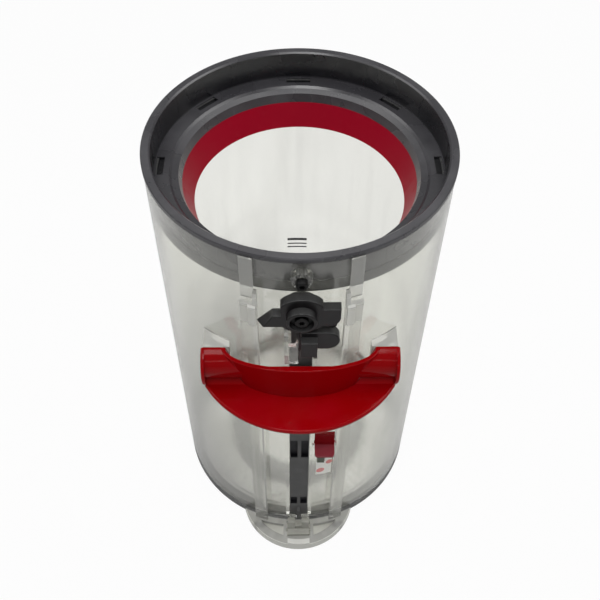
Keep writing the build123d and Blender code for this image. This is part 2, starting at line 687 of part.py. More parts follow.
def lid_seal():
    """Dark rubber ring on the lid's rim, round the spigot."""
    return ring(spigot_r, tube_in - LID_SEAL_GAP, LID_RIM_H, LID_RIM_H + LID_SEAL_H)


def hinge_pin():
    """Steel pin through the back hinge."""
    half = KNUCKLE_W / 2 + SIDE_GAP + LUG_T
    return bar_x(PIN_R, -half, half, hinge_y, HINGE_Z)


def catch_pin():
    """Clear pin across the tongue's bay."""
    half = BAY_W / 2 + BAY_WALL / 2
    return bar_x(CATCH_PIN_R, -half, half, catch_y, CATCH_Z)


def lid_catch():
    """Clear forked catch: pivot barrel, two hooked prongs, a bridge and a thumb plate."""
    half = BAY_W / 2 - CATCH_GAP
    front_y = prong_y - PRONG_T
    prong = side_slab((
        (front_y, CATCH_Z), (prong_y, CATCH_Z), (prong_y, PRONG_TOP - NOSE_H),
        (prong_y + NOSE_REACH, PRONG_TOP - NOSE_H), (prong_y + NOSE_REACH, PRONG_TOP - NOSE_H + NOSE_LAND),
        (prong_y, PRONG_TOP), (front_y, PRONG_TOP)), PRONG_X0, PRONG_X1)
    body = both_sides(prong) + bar_x(CATCH_R, -half, half, catch_y, CATCH_Z)
    body += block(-PRONG_X1, PRONG_X1, front_y, prong_y + BRIDGE_BACK, BRIDGE_Z0, BRIDGE_Z1)
    body += block(-half, half, catch_y, catch_y - THUMB_L, CATCH_Z, CATCH_Z + THUMB_T)
    return body - bar_x(CATCH_PIN_R + PIN_FIT, -half, half, catch_y, CATCH_Z)


def release_button():
    """Red button: upright plate, sloping thumb ledge and a trunnion at each end."""
    ledge_front = plate_front - LEDGE_REACH
    ledge_z = BUTTON_Z - LEDGE_DROP
    body = block(BUTTON_X0, BUTTON_X1, plate_back, plate_front, BUTTON_Z, BUTTON_TOP)
    body = fillet(body.faces().sort_by(Axis.Z)[-1].edges(), EDGE_ROUND)
    body += bar_x(BUTTON_T / 2, BUTTON_X0, BUTTON_X1, button_y, BUTTON_Z)
    ledge = side_slab((
        (button_y, BUTTON_Z), (ledge_front, ledge_z), (ledge_front, ledge_z - LEDGE_T),
        (button_y, BUTTON_Z - LEDGE_T / 2)), BUTTON_X0, BUTTON_X1)
    corners = ledge.edges().filter_by(Axis.Z).group_by(Axis.Y)[0]
    body += fillet(corners, LEDGE_T)
    end = EAR_GAP + TRUNNION_L
    return body + bar_x(TRUNNION_R, BUTTON_X0 - end, BUTTON_X1 + end, button_y, BUTTON_Z)


def button_spring():
    """Leaf spring that stands on the tube and returns the ledge."""
    seat_y = -math.sqrt(TUBE_R ** 2 - LEAF_X0 ** 2)
    leaf_top = BUTTON_Z - LEDGE_DROP - LEDGE_T - LEAF_GAP
    reach = plate_front - LEDGE_REACH / 2
    return side_slab((
        (seat_y, LEAF_BOTTOM), (seat_y, leaf_top), (reach, leaf_top), (reach, leaf_top - LEAF_T),
        (seat_y - LEAF_T, leaf_top - LEAF_T), (seat_y - LEAF_T, LEAF_BOTTOM)), LEAF_X0, LEAF_X1)


def plain_label():
    """Plain white label on the tube beside the rod."""
    sheet = ring(TUBE_R, TUBE_R + LABEL_T, LABEL_Z0, LABEL_Z1)
    sheet &= block(LABEL_X0, LABEL_X1, front * 2, 0, LABEL_Z0, LABEL_Z1)
    return sheet - block(0, LEAF_X1 + LABEL_NOTCH, front * 2, 0, LEAF_BOTTOM - LABEL_NOTCH, LABEL_Z1)


NODES = {
    "bin_body": bin_body(),
    "top_collar": top_collar(),
    "collar_seal": collar_seal(),
    "wiper_ring": wiper_ring(),
    "collar_screw": screw(COLLAR_HEAD_R, COLLAR_HEAD_H, collar_boss_y,
                          -socket_r - COLLAR_SCREW_STOP, collar_screw_z),
    "push_handle": push_handle(),
    "rocker": rocker(),
    "rocker_washer": rocker_washer(),
    "rocker_screw": screw(ROCKER_HEAD_R, ROCKER_HEAD_H, spigot_y - WASHER_T,
                          spigot_y + ROCKER_SCREW_L - END_PLAY, rocker_z),
    "pull_rod": pull_rod(),
    "rod_head": rod_head(),
    "rod_spring": rod_spring(),
    "base_lid": base_lid(),
    "lid_seal": lid_seal(),
    "hinge_pin": hinge_pin(),
    "lid_catch": lid_catch(),
    "catch_pin": catch_pin(),
    "release_button": release_button(),
    "button_spring": button_spring(),
    "plain_label": plain_label(),
}

os.makedirs("parts", exist_ok=True)
for name, shape in NODES.items():
    export_step(shape, f"parts/{name}.step")
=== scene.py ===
"""Clear cyclone dust bin: finishes, printed marks, mould lines, return coil, studio light and camera."""
import math

import bpy
import bmesh
from mathutils import Matrix, Vector


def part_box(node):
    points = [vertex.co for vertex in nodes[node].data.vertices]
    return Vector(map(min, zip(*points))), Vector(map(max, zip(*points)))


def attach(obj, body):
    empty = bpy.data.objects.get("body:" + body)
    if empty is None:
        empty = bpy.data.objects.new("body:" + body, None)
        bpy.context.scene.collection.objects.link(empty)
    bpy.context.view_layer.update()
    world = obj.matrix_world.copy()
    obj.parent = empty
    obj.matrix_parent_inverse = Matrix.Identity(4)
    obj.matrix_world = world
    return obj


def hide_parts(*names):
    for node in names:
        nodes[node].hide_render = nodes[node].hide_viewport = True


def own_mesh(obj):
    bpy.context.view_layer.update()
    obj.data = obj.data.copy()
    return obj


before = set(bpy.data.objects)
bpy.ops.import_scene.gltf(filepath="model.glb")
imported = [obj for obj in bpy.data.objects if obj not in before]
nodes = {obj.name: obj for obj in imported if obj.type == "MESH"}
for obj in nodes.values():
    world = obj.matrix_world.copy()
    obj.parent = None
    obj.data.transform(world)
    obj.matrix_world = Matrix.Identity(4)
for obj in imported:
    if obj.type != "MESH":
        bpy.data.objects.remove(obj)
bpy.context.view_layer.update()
MM = 0.001


def grey(level, warm=1.0):
    return (level, level, level * warm, 1.0)


def rgb(red, green, blue):
    return (red, green, blue, 1.0)


# Camera, from the photograph's two rim ellipses and upright edges
CAMERA_PLACE = Vector((0.00072, -0.2356, 0.40236))
CAMERA_SWING = math.radians(-1.2)        # about the bin's axis
CAMERA_PITCH = math.radians(51.114)      # below the horizon
CAMERA_ROLL = math.radians(0.72)
SENSOR_MM = 36.0
LENS_MM = 49.1

# Tube and collar sizes that the small pieces sit on
TUBE_WALL = 1.6 * MM
LABEL_SHEET = 0.15 * MM
SOCKET_R = 55.3 * MM
SKIRT_R = 56.7 * MM

# Fill marks on the back of the tube
MARK_HEIGHTS = (0.0904, 0.0872, 0.0847)
MARK_DEPTHS = (0.0016, 0.0008, 0.0008)
MARK_HALF_WIDTH = 0.005
MARK_THICK = 0.00008
MARK_STEPS = 12

# Moulded lines on the collar's socket wall and on its skirt
LINE_COUNT = 12
LINE_WIDTH = 0.35 * MM
LINE_PROUD = 0.10 * MM
SOCKET_LINE_SPAN = (192.8 * MM, 202.4 * MM)
SKIRT_LINE_SPAN = (194.2 * MM, 201.4 * MM)

# Two plain ovals printed on the label: (x, z, half width, half height)
OVALS = ((0.0138, 0.0625, 0.0015, 0.0018), (0.0099, 0.0556, 0.0019, 0.0020))
OVAL_SLANT = 0.15
OVAL_LIFT = 0.00004
OVAL_POINTS = 28

# Ramps under the handle's barrels: (y, height above the handle's underside), and the wall they start in
RAMP_PROFILE = (
    (-0.0551, 0.00215), (-0.0551, 0.0031), (-0.0586, 0.0047), (-0.0586, 0.0040), (-0.06065, 0.00215))
RAMP_END_X = 0.0366
WALL_MID_HALF = 0.0228
WALL_FLARE = 0.33
WALL_CENTRE_Y = -0.0551
WALL_MID_REACH = 0.0105

# Return spring of the rod
COIL_WIRE = 0.4 * MM
COIL_TURNS = 9
COIL_STEPS = 20                          # round each turn
COIL_SIDES = 8

# Studio floor and surroundings, by the kind of ray that meets them
FLOOR_SIZE = 4.0
FLOOR_MATT = 0.56
FLOOR_SEEN = 0.95
FLOOR_MIRRORED = 0.08
FLOOR_THROUGH = 0.88
WORLD_LEVEL = 0.35
WORLD_SEEN = 0.63
WORLD_THROUGH = 0.53

# Lamps: (name, place, target, size, watts)
BIN_MIDDLE = (0.0, 0.0, 0.15)
HANDLE_MIDDLE = (0.0, -0.06, 0.14)
LAMPS = (
    ("key_lamp", (-0.05, -0.42, 1.05), BIN_MIDDLE, (0.40, 0.40), 4.1),
    ("left_lamp", (-0.62, 0.05, 0.75), BIN_MIDDLE, (0.45, 0.45), 2.1),
    ("right_lamp", (0.62, 0.05, 0.75), BIN_MIDDLE, (0.45, 0.45), 2.7),
    ("back_lamp", (0.0, 0.42, 0.95), BIN_MIDDLE, (0.60, 0.22), 1.4),
    ("front_strip", (0.05, -0.78, 0.46), HANDLE_MIDDLE, (0.80, 0.02), 0.6))

# Patches of wear and dust: (noise scale, detail, low, high, stretch)
TUBE_SMEAR = (34.0, 4.0, 0.42, 0.72, (1.0, 1.0, 0.3))
TUBE_STREAK = (160.0, 3.0, 0.45, 0.75, (1.0, 1.0, 0.06))
TUBE_SPECK = (1400.0, 2.0, 0.70, 0.78)
LID_SMEAR = (60.0, 4.0, 0.42, 0.72)
CATCH_SMEAR = (90.0, 4.0, 0.42, 0.72)
COLLAR_RUB = (60.0, 5.0, 0.40, 0.72)
COLLAR_SCUFF = (700.0, 4.0, 0.62, 0.74, (1.0, 1.0, 0.2))
RED_SMEAR = (70.0, 4.0, 0.45, 0.75)
RED_SPECK = (1300.0, 2.0, 0.72, 0.80)
WIPER_DUST = (300.0, 4.0, 0.55, 0.80)
MOULD_RUB = (140.0, 5.0, 0.40, 0.72)
SEAL_DUST = (420.0, 5.0, 0.50, 0.78)
INK_WEAR = (900.0, 3.0, 0.45, 0.75)

# Fine grain: (noise scale, detail, strength, depth)
COLLAR_GRAIN = (2600.0, 2.0, 0.06, 0.0001)
RED_PEEL = (420.0, 1.0, 0.03, 0.0002)
WIPER_GRAIN = (1800.0, 2.0, 0.10, 0.0001)
MOULD_GRAIN = (2200.0, 2.0, 0.08, 0.0001)
STEEL_LINES = (900.0, 3.0)
STEEL_STRETCH = (0.12, 1.0, 1.0)
STEEL_RELIEF = (0.08, 0.00005)
PAPER_FIBRE = (1200.0, 4.0)

# Roughness: (least, added where it is worn)
TUBE_ROUGH = (0.06, 0.07)
LID_ROUGH = (0.12, 0.08)
COLLAR_ROUGH = (0.26, 0.12)
RED_ROUGH = (0.10, 0.08)
WIPER_ROUGH = (0.42, 0.15)
BLACK_ROUGH = (0.28, 0.12)
ROD_ROUGH = (0.42, 0.12)
STEEL_ROUGH_SPREAD = 0.2

# Refractive indices, low where the photograph shows little sheen
CLEAR_IOR = 1.45
VEIL_IOR = 1.3
COLLAR_IOR = 1.5
RED_IOR = 1.19
WIPER_IOR = 1.2
BLACK_IOR = 1.34
ROD_IOR = 1.22

# Clear plastics: tube, lid, tongue and catch
TUBE_WARMTH = 0.955
TUBE_TINT = grey(0.885, TUBE_WARMTH)
# painted shade greying the tube towards its foot
TUBE_FOOT_SHADE = grey(0.81, TUBE_WARMTH)
TUBE_SHADE = grey(0.36, 0.98)
TUBE_MILK = grey(0.52, 0.95)
# near-black veil colour at the tube's lower edge
TUBE_EDGE_DARK = grey(0.04)
LID_LIGHT = grey(0.58, 0.94)
LID_DARK = grey(0.13, 0.98)
# painted shade colour for the lid's floor towards its rim
LID_RIM_SHADE = grey(0.42, 0.98)
TONGUE_TINT = grey(0.55, 0.94)
TONGUE_MILK = grey(0.29, 0.94)
POCKET_MILK = grey(0.54, 0.91)
# painted light for the tongue's upright edge
SIDE_PAINTED_LIGHT = grey(0.62, 0.93)
TAB_MILK = grey(0.64, 0.95)
CATCH_MILK = grey(0.42, 0.92)
# painted shade colour for the tongue's corners beside the rails
TONGUE_CORNER_SHADE = grey(0.08)
# painted shade colour where the tube meets the lid
LID_JOINT_SHADE = grey(0.03)
VEIL_ROUGH = 0.6

# Shares of the dust veil on the clear plastics
TUBE_VEIL = 0.05
SMEAR_VEIL = 0.045
STREAK_VEIL = 0.025
SPECK_VEIL = 0.22
FOOT_VEIL = 0.30
FROST_VEIL = 0.55
HOOK_VEIL = 0.40
RAIL_VEIL = 0.16
RIB_VEIL = 0.45
END_VEIL = 0.70
LID_VEIL = 0.12
LID_SMEAR_VEIL = 0.08
# share of painted shade where the tube meets the lid
JOINT_SHADE_VEIL = 0.60
TONGUE_VEIL = 0.55
# share of painted shade in the tongue's corners
CORNER_SHARE = 0.65
CATCH_VEIL = 0.50
CATCH_SMEAR_VEIL = 0.10

# Colours of the other finishes
COLLAR_DARK = rgb(0.034, 0.033, 0.037)
COLLAR_PALE = rgb(0.048, 0.047, 0.052)
COLLAR_MARK = grey(0.10)
COLLAR_SHADE = rgb(0.008, 0.008, 0.010)
SLOT_SHADE = rgb(0.003, 0.003, 0.004)
SCUFF_SHARE = 0.25
RED_DARK = rgb(0.235, 0.0004, 0.0016)
RED_PALE = rgb(0.250, 0.0008, 0.0036)
RED_FLECK = rgb(0.34, 0.06, 0.06)
FLECK_SHARE = 0.3
BUTTON_DARK = rgb(0.150, 0.0004, 0.0016)
BUTTON_PALE = rgb(0.170, 0.0008, 0.0030)
BUTTON_DUST = rgb(0.20, 0.030, 0.040)
WIPER_RED = rgb(0.265, 0.0006, 0.012)
WIPER_PALE = rgb(0.30, 0.030, 0.040)
WIPER_DUST_SHARE = 0.12
BLACK_DARK = rgb(0.004, 0.0035, 0.004)
BLACK_PALE = rgb(0.010, 0.008, 0.009)
# painted light for the faces that look up, and the normal heights it fades in over
BLACK_TOP_LIGHT = grey(0.034)
FACING_UP = (0.3, 0.9)
ROD_DARK = grey(0.066)
ROD_PALE = grey(0.086)
# painted shade for the rod's recessed pockets
ROD_POCKET_SHADE = rgb(0.006, 0.006, 0.008)
COLLAR_SEAL = (grey(0.040), grey(0.075))
LID_SEAL = (grey(0.10), grey(0.15))
SEAL_ROUGH = 0.7
BRIGHT_STEEL = grey(0.45)
LEAF_STEEL = rgb(0.10, 0.11, 0.09)
BLACK_STEEL = grey(0.022)
PAPER_DARK = grey(0.76, 0.95)
PAPER_PALE = grey(0.82, 0.96)
PAPER_ROUGH = 0.6
MARK_INK = rgb(0.02, 0.02, 0.024)
OVAL_INK = rgb(0.72, 0.25, 0.24)
INK_ROUGH = 0.55
WORN_INK = (0.5, 0.12)                   # share of the ink left, and the paler level under it

# Where the finishes change, in metres
EDGE = 0.0002
FINE_EDGE = 0.0001
TUBE_LOW = (0.015, 0.12)                 # shade low on the left
TUBE_LEFT = (-0.055, 0.015)
# heights over which the painted shade at the tube's foot fades out
TUBE_RISE = (0.0, 0.10)
FRONT_HALF = (-0.04, -0.03)
FROST_X = (0.0265, 0.0373)               # handle brackets
FROST_Z = (0.1330, 0.1504)
RAIL_X = (0.0152, 0.0218)                # runner rails
RAIL_RADII = (0.0604, 0.0608)
HOOK_Z = (0.1810, 0.1814)                # hooks and pads above the rails
RIB_Z = (0.1715, 0.1719)                 # short ribs on the rails
RIB_RADII = (0.0624, 0.0627)
GUIDE_END_Z = (0.0168, 0.0173)           # dusty lower ends of guides and rails
RAIL_END_Z = (0.0068, 0.0073)
SOCKET_RADII = (0.0548, 0.0557)          # shaded inner wall of the collar's socket
SOCKET_Z = (0.1925, 0.2033)
SOCKET_EDGE = 0.0004
SLOT_RADII = (0.0513, 0.0549)            # dark floors of the flange's pockets
SLOT_Z = (0.1908, 0.1914)
LEDGE_Y = (-0.0622, -0.0612)             # dusty thumb ledge of the release button
FOOT_Z = (0.0065, 0.0085)                # darker veil at the tube's lower edge
OUTSIDE_TUBE = (0.0586, 0.0590)
DUST_RING = (0.0255, 0.0375)             # radii on the lid's floor
DUST_RING_EDGE = 0.0018
# radii over which painted shade darkens the lid towards its rim
RIM_SHADE_RADII = (0.0450, 0.0575)
JOINT_SHADE_RADII = (0.0568, 0.0598)              # painted shade where the tube meets the lid, standing in for the dark refraction there
JOINT_SHADE_EDGE = 0.0003
TONGUE_RADII = (0.0597, 0.0601)
TONGUE_CENTRE_Y = -0.0451
TONGUE_SIDE = (0.0279, 0.0281)           # painted light on the tongue's pale upright edge, which faces the lamps
POCKET_Z = (0.0025, 0.0035)
TAB_Z = (0.0051, 0.0056)                 # raised thumb tab
CORNER_X = (0.0168, 0.0225)              # painted shade in the corners of the tongue beside the rails' feet
CORNER_X_EDGE = 0.0015
CORNER_Y = (-0.0640, -0.0608)
CORNER_Y_EDGE = 0.0012
# where painted shade fills the rod's pockets
ROD_POCKET_Y = (-0.0613, -0.0609)
ROD_FOOT_Z = (0.0225, 0.0235)


class Term:
    """A shader socket that takes part in Python arithmetic."""

    def __init__(self, finish, socket):
        self.finish = finish
        self.socket = socket

    def maths(self, operation, first, second):
        return self.finish.node("ShaderNodeMath", {"operation": operation}, {0: first, 1: second})

    def __add__(self, other):
        return self.maths("ADD", self, other)

    __radd__ = __add__

    def __sub__(self, other):
        return self.maths("SUBTRACT", self, other)

    def __rsub__(self, other):
        return self.maths("SUBTRACT", other, self)

    def __mul__(self, other):
        return self.maths("MULTIPLY", self, other)

    __rmul__ = __mul__

    def __abs__(self):
        return self.maths("ABSOLUTE", self, 0.0)


class Finish:
    """One procedural material, or the world, and the only way its nodes are made."""

    def __init__(self, name, world=None):
        self.material = world or bpy.data.materials.new(name)
        self.material.use_nodes = True
        self.tree = self.material.node_tree
        self.tree.nodes.clear()
        self.output = self.tree.nodes.new("ShaderNodeOutputWorld" if world else "ShaderNodeOutputMaterial")

    def node(self, kind, settings=None, inputs=None, output=0):
        made = self.tree.nodes.new(kind)
        for key, value in (settings or {}).items():
            setattr(made, key, value)
        for key, value in (inputs or {}).items():
            if isinstance(value, Term):
                self.tree.links.new(value.socket, made.inputs[key])
            else:
                made.inputs[key].default_value = value
        return Term(self, made.outputs[output])

    def place(self):
        return self.node("ShaderNodeTexCoord", output="Object")

    def along(self, axis, vector=None):
        return self.node("ShaderNodeSeparateXYZ", None, {"Vector": vector or self.place()}, output=axis)

    def facing(self, axis):
        return self.along(axis, self.node("ShaderNodeTexCoord", output="Normal"))

    def radius(self, centre_y=0.0):
        flat = self.node("ShaderNodeVectorMath", {"operation": "MULTIPLY_ADD"}, {
            0: self.place(), 1: (1.0, 1.0, 0.0), 2: (0.0, -centre_y, 0.0)})
        return self.node("ShaderNodeVectorMath", {"operation": "LENGTH"}, {0: flat}, output="Value")

    def noise(self, scale, detail, stretch=None):
        vector = self.place()
        if stretch:
            vector = self.node("ShaderNodeMapping", None, {"Vector": vector, "Scale": stretch})
        return self.node("ShaderNodeTexNoise", None, {"Vector": vector, "Scale": scale, "Detail": detail})

    def between(self, value, low, high):
        return self.node("ShaderNodeMapRange", {"clamp": True, "interpolation_type": "SMOOTHSTEP"}, {
            "Value": value, "From Min": low, "From Max": high, "To Min": 0.0, "To Max": 1.0})

    def patches(self, scale, detail, low, high, stretch=None):
        return self.between(self.noise(scale, detail, stretch), low, high)

    def band(self, value, low, high, soft):
        rise = self.between(value, low - soft, low + soft)
        return rise * (1 - self.between(value, high - soft, high + soft))

    def mix(self, factor, first, second):
        return self.node("ShaderNodeMix", {"data_type": "RGBA"}, {
            "Factor": factor, 6: first, 7: second}, output=2)

    def bump(self, height, strength, distance):
        return self.node("ShaderNodeBump", None, {
            "Height": height, "Strength": strength, "Distance": distance})

    def grain(self, scale, detail, strength, distance):
        return self.bump(self.noise(scale, detail), strength, distance)

    def skin(self, **sockets):
        values = {name.replace("_", " ").title(): value for name, value in sockets.items()}
        values = {name.replace("Ior", "IOR"): value for name, value in values.items()}
        return self.node("ShaderNodeBsdfPrincipled", None, values)

    def blend(self, factor, first, second):
        return self.node("ShaderNodeMixShader", None, {0: factor, 1: first, 2: second})

    def ray(self, kind):
        return self.node("ShaderNodeLightPath", output=kind)

    def close(self, shader):
        self.tree.links.new(shader.socket, self.output.inputs["Surface"])
        return self.material


def worn(patch, least, added):
    """Roughness that grows with a patch of wear."""
    return patch * added + least


def clear_shell(finish, colour, rough, veil, milk, shadow_tint):
    """Clear plastic under a thin veil of dust, with the lamps let through."""
    glass = finish.skin(base_color=colour, roughness=rough, transmission_weight=1.0, ior=CLEAR_IOR)
    dust = finish.skin(base_color=milk, roughness=VEIL_ROUGH, ior=VEIL_IOR)
    body = finish.blend(veil, glass, dust)
    open_to_light = finish.node("ShaderNodeBsdfTransparent", None, {"Color": shadow_tint})
    return finish.close(finish.blend(finish.ray("Is Shadow Ray"), body, open_to_light))


def tube_plastic():
    """Clear tube: smeared, with painted shade that greys it at its foot and low on the left, and frosted
    handle brackets.
    """
    finish = Finish("clear_tube_plastic")
    smear = finish.patches(*TUBE_SMEAR)
    streak = finish.patches(*TUBE_STREAK)
    speck = finish.patches(*TUBE_SPECK)
    height = finish.along("Z")
    low = 1 - finish.between(height, *TUBE_LOW)
    low_left = (1 - finish.between(finish.along("X"), *TUBE_LEFT)) * low
    # painted shade, greyer towards the tube's foot
    colour = finish.mix(finish.between(height, *TUBE_RISE), TUBE_FOOT_SHADE, TUBE_TINT)
    colour = finish.mix(low_left, colour, TUBE_SHADE)
    side = abs(finish.along("X"))
    out = finish.radius()
    front = 1 - finish.between(finish.along("Y"), *FRONT_HALF)
    outside = finish.between(out, *OUTSIDE_TUBE) * front
    frost = finish.band(side, *FROST_X, EDGE) * finish.band(height, *FROST_Z, EDGE) * FROST_VEIL
    rail = finish.band(side, *RAIL_X, EDGE)
    hook = rail * finish.between(height, *HOOK_Z) * HOOK_VEIL
    rail = rail * finish.between(out, *RAIL_RADII) * RAIL_VEIL
    rib = finish.between(out, *RIB_RADII) * finish.between(height, *RIB_Z) * RIB_VEIL
    # darker veil at the tube's lower edge
    dark_edge = 1 - finish.between(height, *FOOT_Z)
    ends = finish.band(height, *GUIDE_END_Z, FINE_EDGE) + finish.band(height, *RAIL_END_Z, FINE_EDGE)
    fog = smear * SMEAR_VEIL + streak * STREAK_VEIL + speck * SPECK_VEIL + dark_edge * FOOT_VEIL + TUBE_VEIL
    veil = fog + (frost + hook + rail + rib + ends * END_VEIL) * outside
    milk = finish.mix(dark_edge, TUBE_MILK, TUBE_EDGE_DARK)
    return clear_shell(finish, colour, worn(smear, *TUBE_ROUGH), veil, milk, TUBE_TINT)


def base_plastic():
    """Smoky lid: rings of settled dust on its floor, painted shade on its rim and a milky tongue."""
    finish = Finish("clear_base_plastic")
    smear = finish.patches(*LID_SMEAR)
    out = finish.radius()
    front = 1 - finish.between(finish.along("Y"), *FRONT_HALF)
    tongue = finish.between(out, *TONGUE_RADII) * front
    # painted shade ring where the tube meets the lid
    dark_edge = finish.band(out, *JOINT_SHADE_RADII, JOINT_SHADE_EDGE)
    height = finish.along("Z")
    pocket = 1 - finish.between(height, *POCKET_Z)
    # mask of painted shade in the tongue's corners beside the rails
    corner = finish.band(abs(finish.along("X")), *CORNER_X, CORNER_X_EDGE)
    corner = corner * finish.band(finish.along("Y"), *CORNER_Y, CORNER_Y_EDGE)
    ring = finish.band(out, *DUST_RING, DUST_RING_EDGE)
    colour = finish.mix(ring, LID_LIGHT, LID_DARK)
    # painted shade, darker towards the lid's rim
    colour = finish.mix(finish.between(out, *RIM_SHADE_RADII), colour, LID_RIM_SHADE)
    colour = finish.mix(tongue, colour, TONGUE_TINT)
    side = finish.between(finish.radius(TONGUE_CENTRE_Y), *TONGUE_SIDE)
    milk = finish.mix(pocket, TONGUE_MILK, POCKET_MILK)
    # painted light on the tongue's upright edge
    milk = finish.mix(side, milk, SIDE_PAINTED_LIGHT)
    milk = finish.mix(finish.between(height, *TAB_Z), milk, TAB_MILK)
    milk = finish.mix(corner * CORNER_SHARE, milk, TONGUE_CORNER_SHADE)
    milk = finish.mix(dark_edge, milk, LID_JOINT_SHADE)
    veil = tongue * TONGUE_VEIL + dark_edge * JOINT_SHADE_VEIL + smear * LID_SMEAR_VEIL + LID_VEIL
    return clear_shell(finish, colour, worn(smear, *LID_ROUGH), veil, milk, LID_LIGHT)


def catch_plastic():
    """Milky catch and its pin."""
    finish = Finish("clear_catch_plastic")
    smear = finish.patches(*CATCH_SMEAR)
    veil = smear * CATCH_SMEAR_VEIL + CATCH_VEIL
    return clear_shell(finish, TONGUE_TINT, worn(smear, *LID_ROUGH), veil, CATCH_MILK, TONGUE_TINT)


def collar_plastic():
    """Dark grey moulded plastic with a fine grain and pale rubbed patches."""
    finish = Finish("collar_grey_plastic")
    rub = finish.patches(*COLLAR_RUB)
    scuff = finish.patches(*COLLAR_SCUFF)
    out = finish.radius()
    height = finish.along("Z")
    wall = finish.band(out, *SOCKET_RADII, FINE_EDGE) * finish.band(height, *SOCKET_Z, SOCKET_EDGE)
    slot = finish.band(out, *SLOT_RADII, FINE_EDGE) * finish.band(height, *SLOT_Z, FINE_EDGE)
    colour = finish.mix(rub, COLLAR_DARK, COLLAR_PALE)
    colour = finish.mix(scuff * SCUFF_SHARE, colour, COLLAR_MARK)
    colour = finish.mix(wall, colour, COLLAR_SHADE)
    colour = finish.mix(slot, colour, SLOT_SHADE)
    return finish.close(finish.skin(
        base_color=colour, roughness=worn(rub, *COLLAR_ROUGH), ior=COLLAR_IOR,
        normal=finish.grain(*COLLAR_GRAIN)))


def red_plastic(name, dark, pale, ledge_dust=None):
    """Deep red glossy plastic with a faint orange-peel, dulled smears and dust on a thumb ledge."""
    finish = Finish(name)
    smear = finish.patches(*RED_SMEAR)
    speck = finish.patches(*RED_SPECK)
    colour = finish.mix(smear, dark, pale)
    colour = finish.mix(speck * FLECK_SHARE, colour, RED_FLECK)
    if ledge_dust:
        ledge = 1 - finish.between(finish.along("Y"), *LEDGE_Y)
        colour = finish.mix(ledge, colour, ledge_dust)
    return finish.close(finish.skin(
        base_color=colour, roughness=worn(smear, *RED_ROUGH), ior=RED_IOR,
        normal=finish.grain(*RED_PEEL)))


def red_rubber():
    """Soft red rubber, satin, with dust caught in its grain."""
    finish = Finish("red_wiper_rubber")
    dust = finish.patches(*WIPER_DUST)
    colour = finish.mix(dust * WIPER_DUST_SHARE, WIPER_RED, WIPER_PALE)
    return finish.close(finish.skin(
        base_color=colour, roughness=worn(dust, *WIPER_ROUGH), ior=WIPER_IOR,
        normal=finish.grain(*WIPER_GRAIN)))


def black_plastic():
    """Satin black moulding: mottled and grained, with painted light on the faces that look up."""
    finish = Finish("rocker_black_plastic")
    rub = finish.patches(*MOULD_RUB)
    up = finish.between(finish.facing("Z"), *FACING_UP)
    colour = finish.mix(rub, BLACK_DARK, BLACK_PALE)
    # painted light on the faces that look up
    colour = finish.mix(up, colour, BLACK_TOP_LIGHT)
    return finish.close(finish.skin(
        base_color=colour, roughness=worn(rub, *BLACK_ROUGH), ior=BLACK_IOR,
        normal=finish.grain(*MOULD_GRAIN)))


def rod_plastic():
    """Grey satin rod, with painted shade in its pockets above the foot."""
    finish = Finish("rod_grey_plastic")
    rub = finish.patches(*MOULD_RUB)
    deep = finish.between(finish.along("Y"), *ROD_POCKET_Y)
    deep = deep * finish.between(finish.along("Z"), *ROD_FOOT_Z)
    colour = finish.mix(rub, ROD_DARK, ROD_PALE)
    # painted shade in the recessed pockets
    colour = finish.mix(deep, colour, ROD_POCKET_SHADE)
    return finish.close(finish.skin(
        base_color=colour, roughness=worn(rub, *ROD_ROUGH), ior=ROD_IOR,
        normal=finish.grain(*MOULD_GRAIN)))


def seal_rubber(name, dark, pale):
    """Matt grey rubber with pale dust in it."""
    finish = Finish(name)
    dust = finish.patches(*SEAL_DUST)
    return finish.close(finish.skin(base_color=finish.mix(dust, dark, pale), roughness=SEAL_ROUGH))


def steel(name, colour, rough):
    """Drawn steel with fine lengthwise lines."""
    finish = Finish(name)
    lines = finish.noise(*STEEL_LINES, STEEL_STRETCH)
    return finish.close(finish.skin(
        base_color=colour, metallic=1.0, roughness=worn(lines, rough, STEEL_ROUGH_SPREAD),
        normal=finish.bump(lines, *STEEL_RELIEF)))


def label_paper():
    """White label paper, slightly uneven."""
    finish = Finish("label_white_paper")
    colour = finish.mix(finish.noise(*PAPER_FIBRE), PAPER_DARK, PAPER_PALE)
    return finish.close(finish.skin(base_color=colour, roughness=PAPER_ROUGH))


def print_ink(name, colour):
    """Thin printed ink, a little worn."""
    finish = Finish(name)
    share, under = WORN_INK
    pale = rgb(*(channel * share + under for channel in colour[:3]))
    wear = finish.patches(*INK_WEAR)
    return finish.close(finish.skin(base_color=finish.mix(wear, colour, pale), roughness=INK_ROUGH))


def backdrop_white():
    """Pale floor that reads as white and keeps a soft shadow."""
    finish = Finish("studio_white")
    seen = finish.ray("Is Camera Ray") * FLOOR_SEEN + finish.ray("Is Glossy Ray") * FLOOR_MIRRORED
    seen = seen + finish.ray("Is Transmission Ray") * FLOOR_THROUGH
    matt = finish.skin(base_color=grey(FLOOR_MATT), roughness=0.9)
    glow = finish.node("ShaderNodeEmission", None, {"Color": grey(1.0), "Strength": 1.0})
    return finish.close(finish.blend(finish.node("ShaderNodeClamp", None, {"Value": seen}), matt, glow))


